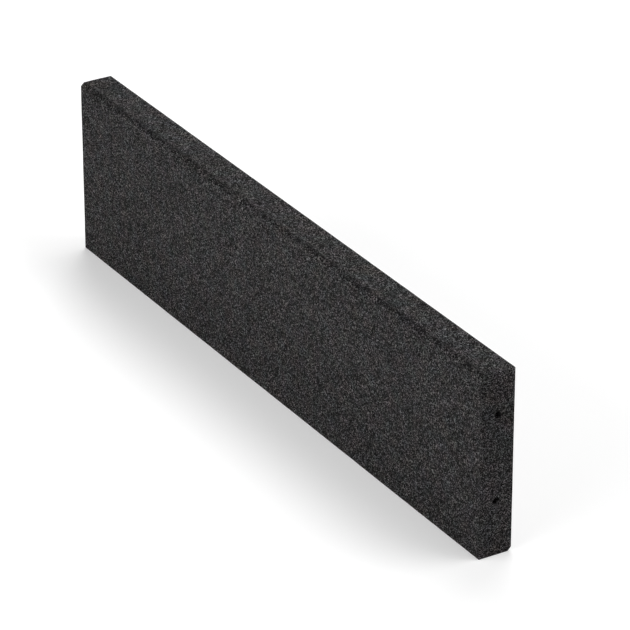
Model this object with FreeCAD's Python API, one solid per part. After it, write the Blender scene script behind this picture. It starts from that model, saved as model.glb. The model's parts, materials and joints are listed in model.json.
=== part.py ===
"""Rubber kerb: a straight edging block, pressed in one piece from bonded rubber granulate.

The block stands on one of its two long narrow sides. X runs along the kerb, Y through its thickness with
the front at -Y, and Z is up. The origin is at floor level, in the middle of the block's length and
thickness. All sizes are in millimetres.

Two long edges that lie diagonally opposite, front top and back bottom, are chamfered, so the section
looks the same after half a turn. Both ends have the same two blind holes, for plastic dowels that line
the kerb up with the next one in the row.
"""

import FreeCAD
import Part

import math
import os

# Block
LENGTH = 1000.0
THICKNESS = 47.0
HEIGHT = 250.0
CHAMFER = 5.0  # each leg of the 45 degree chamfers
EDGE_RADIUS = 1.0  # rounding that the mould leaves on every edge, the chamfers' edges too

# Dowel holes
HOLE_DIAMETER = 10.0
HOLE_DEPTH = 55.0  # of the round wall, without the drill tip
HOLE_TIP_ANGLE = 118.0  # of the cone that the drill leaves
LOWER_HOLE_HEIGHT = 75.0  # above the floor
UPPER_HOLE_DROP = 58.0  # below the top


def section():
    """The outline at the -X end: a rectangle with its front top and back bottom corners cut off."""
    front = -THICKNESS / 2
    back = THICKNESS / 2
    corners = [
        (front, 0),
        (back - CHAMFER, 0),
        (back, CHAMFER),
        (back, HEIGHT),
        (front + CHAMFER, HEIGHT),
        (front, HEIGHT - CHAMFER),
    ]
    points = [FreeCAD.Vector(-LENGTH / 2, y, z) for y, z in corners]
    return Part.Face(Part.makePolygon(points + points[:1]))


def block():
    """The pressed block with all its edges rounded, before drilling."""
    sharp_block = section().extrude(FreeCAD.Vector(LENGTH, 0, 0))
    return sharp_block.makeFillet(EDGE_RADIUS, sharp_block.Edges)


def dowel_hole(end, height):
    """The space that one drilled hole takes out: end is -1 at the -X end and 1 at the +X end."""
    mouth = FreeCAD.Vector(end * LENGTH / 2, 0, height)
    inward = FreeCAD.Vector(-end, 0, 0)
    radius = HOLE_DIAMETER / 2
    bore = Part.makeCylinder(radius, HOLE_DEPTH, mouth, inward)
    tip_length = radius / math.tan(math.radians(HOLE_TIP_ANGLE / 2))
    tip = Part.makeCone(radius, 0, tip_length, mouth + inward * HOLE_DEPTH, inward)
    return bore.fuse(tip)


def kerb_block():
    """The finished kerb: the block with two holes drilled in each end."""
    hole_heights = (LOWER_HOLE_HEIGHT, HEIGHT - UPPER_HOLE_DROP)
    holes = [dowel_hole(end, height) for end in (-1, 1) for height in hole_heights]
    return block().cut(holes)


os.makedirs("parts", exist_ok=True)
kerb_block().exportStep("parts/kerb_block.step")
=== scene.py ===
import json
import math

import bpy
import numpy as np
from mathutils import Matrix, Vector


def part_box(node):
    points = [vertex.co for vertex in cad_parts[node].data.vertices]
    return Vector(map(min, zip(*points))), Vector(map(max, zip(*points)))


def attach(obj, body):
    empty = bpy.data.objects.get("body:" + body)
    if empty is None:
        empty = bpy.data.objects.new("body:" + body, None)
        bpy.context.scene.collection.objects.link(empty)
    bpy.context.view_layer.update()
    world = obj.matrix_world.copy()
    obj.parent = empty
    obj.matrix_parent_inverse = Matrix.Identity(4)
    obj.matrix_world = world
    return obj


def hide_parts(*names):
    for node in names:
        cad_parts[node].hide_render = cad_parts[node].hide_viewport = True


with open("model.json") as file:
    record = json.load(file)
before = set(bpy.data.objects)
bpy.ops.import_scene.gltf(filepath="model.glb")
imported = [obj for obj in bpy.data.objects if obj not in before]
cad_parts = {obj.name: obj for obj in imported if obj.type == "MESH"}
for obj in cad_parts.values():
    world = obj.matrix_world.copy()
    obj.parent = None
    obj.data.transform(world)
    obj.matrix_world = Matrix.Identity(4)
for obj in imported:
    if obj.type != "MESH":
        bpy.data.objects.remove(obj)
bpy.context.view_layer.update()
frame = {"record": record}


# ---- Pressed block ----
# The kerb is one block of tyre granulate and binder, pressed in a steel mould, so its faces are flat and
# its edges straight. The mould flattens the granules that touch it and leaves small hollows between them.
# Two long edges lying diagonally opposite are chamfered, and the ends have blind holes for dowels.

MM = 0.001
low, high = (np.array(corner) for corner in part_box("kerb_block"))
size = high - low
CHAMFER = 5.0 * MM
EDGE_RADIUS = 1.0 * MM
MESH_STEP = 2.85 * MM  # between points on the faces
EDGE_STEPS = np.array([0.0, 0.35, 0.9, 1.8]) * MM  # of the first points in from each edge
random = np.random.default_rng(20)

kerb_points = []  # of each patch, one after another
kerb_corners = []  # the patches' triangles, as numbers of points
kerb_places = []  # each point's place in the unrolled layout


def spaced(length, breaks=()):
    """Distances from 0 to length: close together at both ends and each break, and even in between."""
    stops = [0.0, *breaks, length]
    runs = []
    for start, end in zip(stops, stops[1:]):
        inset = EDGE_STEPS[EDGE_STEPS < (end - start) / 2.5]
        inner = np.linspace(start + inset[-1], end - inset[-1],
                            max(2, round((end - start - 2 * inset[-1]) / MESH_STEP) + 1))
        runs.append(np.concatenate([start + inset, inner, end - inset[::-1]]))
    return np.unique(np.round(np.concatenate(runs), 7))


def add_patch(points, places, keep=None):
    """Adds a grid of points, rows by columns, as triangles. The diagonals turn in every other square, and
    keep says which squares stay."""
    rows, columns = points.shape[:2]
    first = sum(len(p) for p in kerb_points)
    number = first + np.arange(rows * columns).reshape(rows, columns)
    a, b, c, d = number[:-1, :-1], number[:-1, 1:], number[1:, 1:], number[1:, :-1]
    odd = (np.add.outer(np.arange(rows - 1), np.arange(columns - 1)) % 2 == 1)
    one = np.where(odd[..., None], np.stack([a, b, d], -1), np.stack([a, b, c], -1))
    two = np.where(odd[..., None], np.stack([b, c, d], -1), np.stack([a, c, d], -1))
    squares = np.stack([one, two], 2)
    kerb_points.append(points.reshape(-1, 3))
    kerb_corners.append((squares if keep is None else squares[keep]).reshape(-1, 3))
    kerb_places.append(places.reshape(-1, 2))


def outline_front(z):
    """How far front the section reaches at each height: the front face, then back along the chamfer."""
    return low[1] + np.clip(z - (high[2] - CHAMFER), 0, None)


def outline_back(z):
    """How far back the section reaches at each height: out along the chamfer, then the back face."""
    return high[1] - np.clip(low[2] + CHAMFER - z, 0, None)


heights = low[2] + spaced(size[2], (CHAMFER, size[2] - CHAMFER))
across = spaced(size[1]) / size[1]
stations = low[0] + spaced(size[0])

# The section as a closed line: up the front, back over the top, down the back and forward underneath.
section = np.concatenate([
    np.stack([outline_front(heights), heights], -1),
    np.stack([outline_front(high[2]) + across * (high[1] - outline_front(high[2])),
              np.full(len(across), high[2])], -1)[1:],
    np.stack([outline_back(heights), heights], -1)[::-1][1:],
    np.stack([low[1] + across * (outline_back(low[2]) - low[1]), np.full(len(across), low[2])], -1)[::-1][1:],
])
run = np.concatenate([[0], np.cumsum(np.linalg.norm(np.diff(section, axis=0), axis=1))])

SHEET_SHARE = 0.85  # of the layout's height that the four long sides take, unrolled
END_SHARE = 0.10  # and the two ends, side by side
LAYOUT_GAP = 0.006
sides = np.empty((len(section), len(stations), 3))
sides[..., 0] = stations
sides[..., 1:] = section[:, None]
side_places = np.empty((len(section), len(stations), 2))
side_places[..., 0] = (stations - low[0]) / size[0]
side_places[..., 1] = (run / run[-1] * SHEET_SHARE)[:, None]
add_patch(sides, side_places)

# ---- Dowel holes ----
# Each end has two blind holes for plastic dowels that line the kerb up with the next one. They are drilled
# in the pressed block, so their walls are cut granules, rougher than the faces, and end in a drill's cone.

HOLE_WALL_STEPS = 14
HOLE_COLLAR = 11.0 * MM  # half the side of the square that each hole takes out of the end's grid
HOLE_TIP_ANGLE = math.radians(118)
COLLAR_RINGS = 5
HOLE_STRIP = 0.025  # of the layout's height that the walls of the holes take, side by side
dowel_holes = [mount for mount in frame["record"]["mounts"] if mount["kind"] == "bore"]
hole_radius = dowel_holes[0]["dims"]["r_mm"] * MM
hole_depth = dowel_holes[0]["dims"]["length_mm"] * MM
hole_tip = hole_radius / math.tan(HOLE_TIP_ANGLE / 2)


def end_grid(x):
    """The end face as rows at the section's heights, each from its front outline to its back outline."""
    z = np.repeat(heights[:, None], len(across), 1)
    front = outline_front(z)
    y = front + across * (outline_back(z) - front)
    return np.stack([np.full_like(z, x), y, z], -1)


def end_place(y, z, number):
    """Where a point of an end lies in the unrolled layout: the left end is number 0 and the right end 1."""
    return np.stack([z / size[2] * (0.5 - LAYOUT_GAP) + number * 0.5,
                     SHEET_SHARE + LAYOUT_GAP + (y - low[1]) / size[1] * END_SHARE], -1)


def square_loop(grid, top, bottom, left, right):
    """The points once round a block of a grid, closed, from its first corner."""
    return np.concatenate([grid[bottom, left:right], grid[bottom:top, right], grid[top, right:left:-1],
                           grid[top:bottom:-1, left], grid[bottom:bottom + 1, left]])


for number, x in enumerate((low[0], high[0])):
    outward = math.copysign(1, x)
    order = slice(None) if outward > 0 else slice(None, None, -1)  # so that both ends face outward
    grid = end_grid(x)
    rows, columns = grid.shape[:2]
    keep = np.ones((rows - 1, columns - 1), bool)
    places = end_place(grid[..., 1], grid[..., 2], number)
    for hole in [h for h in dowel_holes if h["pos_m"][0] * outward > 0]:
        centre = np.array(hole["pos_m"])
        bottom, top = np.searchsorted(heights, [centre[2] - HOLE_COLLAR, centre[2] + HOLE_COLLAR])
        row = grid[(bottom + top) // 2, :, 1]
        left, right = np.searchsorted(row, [centre[1] - HOLE_COLLAR, centre[1] + HOLE_COLLAR])
        keep[bottom:top, left:right] = False
        loop = square_loop(grid, top, bottom, left, right)
        loop_places = square_loop(places, top, bottom, left, right)
        angle = np.arctan2(loop[:, 2] - centre[2], loop[:, 1] - centre[1])
        ring = np.stack([np.zeros(len(loop)), np.cos(angle), np.sin(angle)], -1)
        # The collar goes from the square in to the mouth, where it turns into the wall.
        share = np.linspace(0, 1, COLLAR_RINGS)[:, None, None]
        collar = loop * (1 - share) + (centre + ring * hole_radius) * share
        ring_reach = hole_radius / np.array([size[2] * 2, size[1] / END_SHARE])
        ring_places = end_place(centre[1], centre[2], number) + ring[:, [2, 1]] * ring_reach
        collar_places = loop_places * (1 - share) + ring_places * share
        # The wall goes down to the drill's cone, whose point closes it.
        depth = np.concatenate([np.linspace(0, hole_depth, HOLE_WALL_STEPS), [hole_depth + hole_tip]])
        width = np.concatenate([np.full(HOLE_WALL_STEPS, hole_radius), [0]])
        wall = centre + ring * width[:, None, None] - np.array([outward, 0, 0]) * depth[:, None, None]
        column = number * 2 + (centre[2] > size[2] / 2)
        wall_places = np.empty(wall.shape[:2] + (2,))
        wall_places[..., 0] = column / 4 + np.linspace(0, 0.25 - LAYOUT_GAP, len(loop))
        wall_places[..., 1] = 1 - LAYOUT_GAP - (depth / depth[-1] * HOLE_STRIP)[:, None]
        add_patch(collar[:, order], collar_places[:, order])
        add_patch(wall[:, order], wall_places[:, order])
    add_patch(grid[:, order], places[:, order], keep[:, order])

# ---- Granule relief ----
# The faces copy a flat mould, so the relief is shallow: granules pressed level, hollows between them where
# the binder shrank, and a few open pores where a granule came away, more of them on the ends.

PRESSED_DEPTH = 0.12 * MM  # of the hollows between granules
SWELL = 0.07 * MM  # slow unevenness, as the rubber springs back out of the mould
SWELL_LENGTHS = (9 * MM, 35 * MM)
PORE_DEPTH = 0.8 * MM
PORE_SHARE = 0.025  # of the points on the long sides
END_PORE_SHARE = 0.05
HOLE_ROUGHNESS = 0.25 * MM
STILL_EDGE = 2 * MM  # beside the edges, where no point slides
FIRM_EDGE = 3 * MM  # beside the edges, where the relief fades
FIRM_SHARE = 0.15  # of its depth that the relief keeps right at an edge

points, same = np.unique(np.round(np.concatenate(kerb_points), 7), axis=0, return_inverse=True)
same = same.reshape(-1)
patch_corners = np.concatenate(kerb_corners)
patch_places = np.concatenate(kerb_places)
corners = same[patch_corners]
whole = np.all(corners != np.roll(corners, 1, axis=1), axis=1)
corners, patch_corners = corners[whole], patch_corners[whole]
used, corners = np.unique(corners, return_inverse=True)
points, corners = points[used], corners.reshape(-1, 3)

half_root = math.sqrt(0.5)
# Outward directions of the block's eight planes, and how far out along each one its plane lies.
planes = np.array([[-1, 0, 0], [1, 0, 0], [0, -1, 0], [0, 1, 0], [0, 0, -1], [0, 0, 1],
                   [0, -half_root, half_root], [0, half_root, -half_root]])
plane_at = np.array([-low[0], high[0], -low[1], high[1], -low[2], high[2],
                     (high[2] - low[1] - CHAMFER) * half_root, (high[1] - low[2] - CHAMFER) * half_root])


def inside_distance(p):
    """Each point's distance in from the nearest plane, and from the second nearest, which is the nearest
    edge for a point on a face."""
    distance = np.sort(plane_at - p @ planes.T, axis=1)
    return distance[:, 0], distance[:, 1]


def rounded(p):
    """Rounds the edges: each point goes to the nearest point of the block shrunk by the radius, found by
    stepping back behind each plane in turn, and then out again by the radius. Also gives that direction."""
    core = p.copy()
    for _ in range(40):
        over = core @ planes.T - (plane_at - EDGE_RADIUS)
        worst = over.argmax(1)
        core -= planes[worst] * np.clip(over[np.arange(len(p)), worst], 0, None)[:, None]
    out = p - core
    out /= np.maximum(np.linalg.norm(out, axis=1), 1e-12)[:, None]
    return core + out * EDGE_RADIUS, out


def soft_lumps(p, lump):
    """Values from -1 to 1 that change smoothly over the size lump: random values on a cubic lattice,
    blended between its corners."""
    at = (p - low) / lump + 1
    cell = np.floor(at).astype(int)
    part = at - cell
    part = part * part * (3 - 2 * part)
    lattice = random.uniform(-1, 1, cell.max(0) + 3)
    total = np.zeros(len(p))
    for corner in np.ndindex(2, 2, 2):
        weight = np.prod(np.where(corner, part, 1 - part), axis=1)
        total += weight * lattice[tuple((cell + corner).T)]
    return total


face_in, edge_in = inside_distance(points)
on_face = face_in < 0.01 * MM
hole_axes = np.array([hole["pos_m"] for hole in dowel_holes])
from_axis = np.min([np.where(np.sign(points[:, 0]) == np.sign(axis[0]),
                             np.linalg.norm(points[:, 1:] - axis[1:], axis=1), 1)
                    for axis in hole_axes], axis=0)
near_hole = from_axis < HOLE_COLLAR * 1.5
placed, out = rounded(points)
on_end = on_face & (np.abs(out[:, 0]) > 0.7)

# Points slide along their face by up to a quarter of a step, so that no grid shows and no triangle turns
# over. They stay where they are beside the edges, the holes and the chamfers' heights, where the rows are
# closer together.
slide = random.uniform(-1, 1, points.shape) * MESH_STEP / 4
slide -= out * np.sum(slide * out, axis=1)[:, None]
from_close_rows = np.min(np.abs(points[:, 2:] - [low[2] + CHAMFER, high[2] - CHAMFER]), axis=1)
free = np.clip((np.minimum(edge_in, from_close_rows) - STILL_EDGE) / STILL_EDGE, 0, 1)
free *= on_face & ~(on_end & near_hole)
hollow = random.uniform(0, 1, len(points)) ** 3 * PRESSED_DEPTH
pore = random.uniform(0, 1, len(points)) < np.where(on_end, END_PORE_SHARE, PORE_SHARE)
depth = hollow + pore * random.uniform(0.4, 1, len(points)) * PORE_DEPTH
depth *= np.clip(np.minimum(edge_in, from_close_rows) / FIRM_EDGE, FIRM_SHARE, 1)
swell = sum(soft_lumps(points, length) for length in SWELL_LENGTHS)
finished = placed + slide * free[:, None] + out * (swell * SWELL - depth)[:, None]

# A hole's wall is rough across its axis, and its depth stays true.
in_hole = ~on_face
away = np.zeros_like(points)
for axis in hole_axes:
    same_end = np.sign(points[:, 0]) == np.sign(axis[0])
    own = in_hole & same_end & (np.abs(points[:, 2] - axis[2]) < HOLE_COLLAR)
    away[own, 1:] = points[own, 1:] - axis[1:]
away /= np.maximum(np.linalg.norm(away, axis=1), 1e-9)[:, None]
rough_wall = points + away * random.uniform(-0.2, 1, (len(points), 1)) * HOLE_ROUGHNESS
finished[in_hole] = rough_wall[in_hole]

kerb_mesh = bpy.data.meshes.new("rubber_kerb")
kerb_mesh.from_pydata(finished.tolist(), [], corners.tolist())
layout = kerb_mesh.uv_layers.new(name="OFBake")
layout.data.foreach_set("uv", patch_places[patch_corners].astype(np.float32).ravel())
kerb_mesh.polygons.foreach_set("use_smooth", np.ones(len(corners), bool))
kerb_mesh.update()
kerb = bpy.data.objects.new("rubber_kerb", kerb_mesh)
bpy.context.scene.collection.objects.link(kerb)


# ---- Bonded rubber granulate ----
# Shredded tyre granules of 1 to 2 mm in a thin film of polyurethane binder, pressed and cured, uncoated.
# Each granule keeps its own grey, from nearly black to a worn mid grey, with dark gaps between granules,
# and the rubber is matt, so the eye reads a fine even speckle and almost no shine.

GRANULE = 1.1 * MM
LARGE_GRANULE = 2.2 * MM
LARGE_SHARE = 0.1  # of the surface that large granules take
END_FINENESS = 1.22  # how many times finer the granules look on the ends
END_DEPTH = 1.2 * MM  # how far in from an end its finer granules reach
WANDER = 0.5 * MM  # how far a granule's outline strays
WANDER_LENGTH = 1.0 * MM
GAP_WIDTH = 0.09  # of a granule's size, half the dark gap's width
GAP_SHADE = 0.25
PORE_WIDTH = 0.18  # of the pore spacing, from a pore's middle to its rim
PORE_SHADE = 0.2
PORE_SPACING = 6.5 * MM
# The strip values set a band of painted shade along the chamfered edges, darker in patches.
STRIP_PATCH = 22.0 * MM  # length of the darker patches along a chamfer
STRIP_RAGGED = 8.0 * MM  # how far the patches push the strip's edge about
STRIP_START, STRIP_END = 4.0 * MM, 9.5 * MM  # where the strip starts to fade, and where it ends
PAINTED_EDGE_SHADE = 0.58
BLEND_DRIFT = 22.0 * MM  # over which the mix of tyres changes its tint
CLOUD = 45.0 * MM  # over which the kerb gets a little lighter and darker


def linear(hex_colour):
    """An sRGB hex colour as linear red, green, blue and alpha."""
    parts = [int(hex_colour[i:i + 2], 16) / 255 for i in (1, 3, 5)]
    return [c / 12.92 if c <= 0.04045 else ((c + 0.055) / 1.055) ** 2.4 for c in parts] + [1.0]


def add_node(tree, kind, settings=None, **links):
    """Adds a node: settings are its properties, and links its inputs, each a socket to join or a value.
    An input's name has _ for a space, and in_0 is its first."""
    node = tree.nodes.new("ShaderNode" + kind)
    for name, value in (settings or {}).items():
        setattr(node, name, value)
    for name, value in links.items():
        key = int(name[3:]) if name.startswith("in_") else name.replace("_", " ")
        if isinstance(value, bpy.types.NodeSocket):
            tree.links.new(value, node.inputs[key])
        else:
            node.inputs[key].default_value = value
    return node


def new_material(name):
    """A material with only an output node, and its tree."""
    material = bpy.data.materials.new(name)
    material.use_nodes = True
    material.node_tree.nodes.clear()
    return material, material.node_tree


def maths(tree, operation, *values):
    """The result of a Math node on one to three values or sockets."""
    inputs = {f"in_{number}": value for number, value in enumerate(values)}
    return add_node(tree, "Math", {"operation": operation}, **inputs).outputs[0]


def times(tree, vector, factor):
    """A place or a colour times a factor."""
    return add_node(tree, "VectorMath", {"operation": "SCALE"}, in_0=vector, Scale=factor).outputs[0]


granulate, tree = new_material("bonded_rubber_granulate")
place = add_node(tree, "TexCoord").outputs["Object"]
axes = add_node(tree, "SeparateXYZ", Vector=place)
along = maths(tree, "ABSOLUTE", axes.outputs["X"])
at_end = maths(tree, "GREATER_THAN", along, size[0] / 2 - END_DEPTH)
# Granules look smaller on the ends, likely because the press lays them flat against the long faces.
end_scale = add_node(tree, "MapRange", Value=at_end, To_Min=1.0, To_Max=END_FINENESS).outputs["Result"]
grain_place = times(tree, place, end_scale)
# Granules are torn, not cut, so their outlines wander a little.
wander = add_node(tree, "TexNoise", Vector=place, Scale=1 / WANDER_LENGTH, Detail=1.0).outputs["Color"]
offset = add_node(tree, "VectorMath", {"operation": "MULTIPLY_ADD"}, in_0=wander,
                  in_1=(WANDER,) * 3, in_2=grain_place).outputs[0]
small = add_node(tree, "TexVoronoi", Vector=offset, Scale=1 / GRANULE, Randomness=1.0)
small_edge = add_node(tree, "TexVoronoi", {"feature": "DISTANCE_TO_EDGE"}, Vector=offset, Scale=1 / GRANULE)
large = add_node(tree, "TexVoronoi", Vector=offset, Scale=1 / LARGE_GRANULE)
small_shade = add_node(tree, "SeparateColor", Color=small.outputs["Color"])
large_shade = add_node(tree, "SeparateColor", Color=large.outputs["Color"])
in_large = maths(tree, "LESS_THAN", large_shade.outputs[1], LARGE_SHARE)
shade = add_node(tree, "Mix", {"data_type": "FLOAT"}, in_0=in_large, in_2=small_shade.outputs[0],
                 in_3=large_shade.outputs[0]).outputs[0]
greys = add_node(tree, "ValToRGB", Fac=shade)
ramp = greys.color_ramp
ramp.elements[0].position, ramp.elements[0].color = 0.0, linear("#020202")
ramp.elements[1].position, ramp.elements[1].color = 1.0, linear("#7b7b7b")
for position, colour in ((0.42, "#121212"), (0.66, "#323232"), (0.85, "#545454")):
    ramp.elements.new(position).color = linear(colour)
gap = add_node(tree, "MapRange", {"interpolation_type": "SMOOTHSTEP"}, Value=small_edge.outputs["Distance"],
               From_Min=0.0, From_Max=GAP_WIDTH, To_Min=GAP_SHADE, To_Max=1.0).outputs["Result"]
colour = times(tree, greys.outputs["Color"], gap)

# Open pores: a dark dot at the middle of each cell of a coarser pattern, a little wider on the ends.
pores = add_node(tree, "TexVoronoi", Vector=offset, Scale=1 / PORE_SPACING)
pore_reach = add_node(tree, "MapRange", Value=at_end, To_Min=0.03, To_Max=0.045).outputs["Result"]
pore_shade = add_node(tree, "MapRange", {"interpolation_type": "SMOOTHSTEP"}, Value=pores.outputs["Distance"],
                      From_Min=pore_reach, From_Max=PORE_WIDTH, To_Min=PORE_SHADE,
                      To_Max=1.0).outputs["Result"]
colour = times(tree, colour, pore_shade)

# Painted shade along the chamfered edges: the chamfers and the faces next to them are darkened in patches,
# a band of shade painted into the colour. Measured across from the chamfer's inner edge, on the half it
# belongs to.
half_height = size[2] / 2
above_middle = maths(tree, "SUBTRACT", axes.outputs["Z"], half_height)
sideways = maths(tree, "MULTIPLY", axes.outputs["Y"], maths(tree, "SIGN", above_middle))
from_edge = maths(tree, "ABSOLUTE", maths(tree, "SUBTRACT", sideways, low[1] + CHAMFER))
patches = add_node(tree, "TexNoise", Vector=place, Scale=1 / STRIP_PATCH, Detail=2.0).outputs["Fac"]
ragged = maths(tree, "MULTIPLY_ADD", patches, STRIP_RAGGED, from_edge)
painted_shade_band = add_node(tree, "MapRange", {"interpolation_type": "SMOOTHSTEP"}, Value=ragged, From_Min=STRIP_START,
                From_Max=STRIP_END, To_Min=PAINTED_EDGE_SHADE, To_Max=1.0).outputs["Result"]
at_chamfer = maths(tree, "GREATER_THAN", maths(tree, "ABSOLUTE", above_middle), half_height - CHAMFER)
painted_edge_shade = add_node(tree, "Mix", {"data_type": "FLOAT"}, in_0=at_chamfer, in_2=1.0, in_3=painted_shade_band).outputs[0]
# Painted shade: the band darkens the colour along the chamfers.
colour = times(tree, colour, painted_edge_shade)

# Slow changes: a faint warm and cool drift in the mix, and soft clouds of lighter and darker rubber.
drift = add_node(tree, "TexNoise", Vector=place, Scale=1 / BLEND_DRIFT, Detail=2.0).outputs["Color"]
tint = add_node(tree, "VectorMath", {"operation": "MULTIPLY_ADD"}, in_0=drift, in_1=(0.47, 0.10, 0.28),
                in_2=(0.807, 0.95, 0.872)).outputs[0]
colour = add_node(tree, "VectorMath", {"operation": "MULTIPLY"}, in_0=colour, in_1=tint).outputs[0]
cloud = add_node(tree, "TexNoise", Vector=place, Scale=1 / CLOUD, Detail=3.0).outputs["Fac"]
cloud_shade = add_node(tree, "MapRange", Value=cloud, From_Min=0.3, From_Max=0.7, To_Min=0.93,
                       To_Max=1.07).outputs["Result"]
colour = times(tree, colour, cloud_shade)

granule_height = maths(tree, "MULTIPLY", gap, pore_shade)
relief = add_node(tree, "Bump", Height=granule_height, Strength=0.5, Distance=0.2 * MM).outputs["Normal"]
rubber = add_node(tree, "BsdfPrincipled", Base_Color=colour, Roughness=0.9, IOR=1.52,
                  Specular_IOR_Level=0.08, Normal=relief)
add_node(tree, "OutputMaterial", Surface=rubber.outputs["BSDF"])
kerb.data.materials.append(granulate)

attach(kerb, "root")
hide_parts("kerb_block")


# ---- Floor and background ----
# A plain white matt sheet under the kerb, running off to white on all sides. It keeps the kerb's shadow
# and gives the rubber a soft light from below.

FLOOR_HALF = 9.0
floor_mesh = bpy.data.meshes.new("studio_floor")
floor_corners = [(x * FLOOR_HALF, y * FLOOR_HALF, 0) for x, y in ((-1, -1), (1, -1), (1, 1), (-1, 1))]
floor_mesh.from_pydata(floor_corners, [], [(0, 1, 2, 3)])
floor = bpy.data.objects.new("studio_floor", floor_mesh)
bpy.context.scene.collection.objects.link(floor)
paper, tree = new_material("white_matt_paper")
rays = add_node(tree, "LightPath")
seen = maths(tree, "MAXIMUM", rays.outputs["Is Camera Ray"], rays.outputs["Is Glossy Ray"])
seen = maths(tree, "MAXIMUM", seen, rays.outputs["Is Transmission Ray"])
away_from_kerb = add_node(tree, "VectorMath", {"operation": "LENGTH"},
                          in_0=add_node(tree, "TexCoord").outputs["Object"]).outputs["Value"]
glow = add_node(tree, "MapRange", {"interpolation_type": "SMOOTHSTEP"}, Value=away_from_kerb, From_Min=0.9,
                From_Max=2.2, To_Min=0.25, To_Max=1.0).outputs["Result"]
shown = add_node(tree, "AddShader",
                 in_0=add_node(tree, "BsdfDiffuse", Color=(0.8, 0.8, 0.8, 1)).outputs[0],
                 in_1=add_node(tree, "Emission", Color=(1, 1, 1, 1), Strength=glow).outputs[0])
pale = add_node(tree, "BsdfDiffuse", Color=linear("#f3f3f3"))
add_node(tree, "OutputMaterial", Surface=add_node(tree, "MixShader", in_0=seen, in_1=pale.outputs[0],
                                                  in_2=shown.outputs[0]).outputs[0])
floor.data.materials.append(paper)

backdrop = bpy.data.worlds.new("white_backdrop")
backdrop.use_nodes = True
backdrop.node_tree.nodes.clear()
tree = backdrop.node_tree
rays = add_node(tree, "LightPath")
seen = maths(tree, "MAXIMUM", rays.outputs["Is Camera Ray"], rays.outputs["Is Transmission Ray"])
add_node(tree, "OutputWorld", Surface=add_node(tree, "Background", Color=(1, 1, 1, 1),
                                               Strength=seen).outputs[0])
bpy.context.scene.world = backdrop


# ---- Studio lamps ----
# Soft lamps all round the kerb. A wide one in front lights the front face, and those behind, which are
# together stronger, light the top and cast the soft shadow that lies in front of the kerb.

LAMP_TARGET = Vector((0, 0, 0.1))
lamps = {  # degrees round from the front and up from the floor, metres away, metres wide and high, watts
    "front": (0, 30, 1.5, 2.6, 0.75, 20),
    "right": (90, 40, 2.5, 1.6, 1.6, 9),
    "back_right": (135, 50, 2.5, 1.6, 1.6, 27),
    "back_left": (240, 30, 3.0, 1.6, 1.6, 28),
    "back_high": (215, 68, 2.5, 1.2, 1.2, 19),
    "left": (260, 60, 2.5, 1.6, 1.6, 5),
}


def towards(azimuth, elevation):
    """The direction that is azimuth degrees round from the front and elevation degrees up."""
    a, e = math.radians(azimuth), math.radians(elevation)
    return Vector((math.sin(a) * math.cos(e), -math.cos(a) * math.cos(e), math.sin(e)))


def facing(position, direction):
    """The place of a lamp or camera that looks back along direction."""
    return Matrix.Translation(position) @ direction.to_track_quat("Z", "Y").to_matrix().to_4x4()


for name, (azimuth, elevation, distance, width, height, power) in lamps.items():
    light = bpy.data.lights.new("lamp_" + name, "AREA")
    light.shape = "ELLIPSE"
    light.size = width
    light.size_y = height
    light.energy = power
    lamp = bpy.data.objects.new("lamp_" + name, light)
    direction = towards(azimuth, elevation)
    lamp.matrix_world = facing(LAMP_TARGET + direction * distance, direction)
    bpy.context.scene.collection.objects.link(lamp)


# ---- Camera ----
# A long lens from the right, a little above the kerb, looking at the middle of its length.

CAMERA_AZIMUTH, CAMERA_ELEVATION = 58.91, 27.014
CAMERA_DISTANCE = 5.1715
CAMERA_TARGET = Vector((0.05213, 0.01687, size[2] / 2))
camera_data = bpy.data.cameras.new("camera")
camera_data.sensor_width = 36
camera_data.lens = 231.287
camera = bpy.data.objects.new("camera", camera_data)
bpy.context.scene.collection.objects.link(camera)
view = towards(CAMERA_AZIMUTH, CAMERA_ELEVATION)
camera.matrix_world = facing(CAMERA_TARGET + view * CAMERA_DISTANCE, view)
bpy.context.scene.camera = camera
bpy.context.scene.view_settings.view_transform = "Standard"
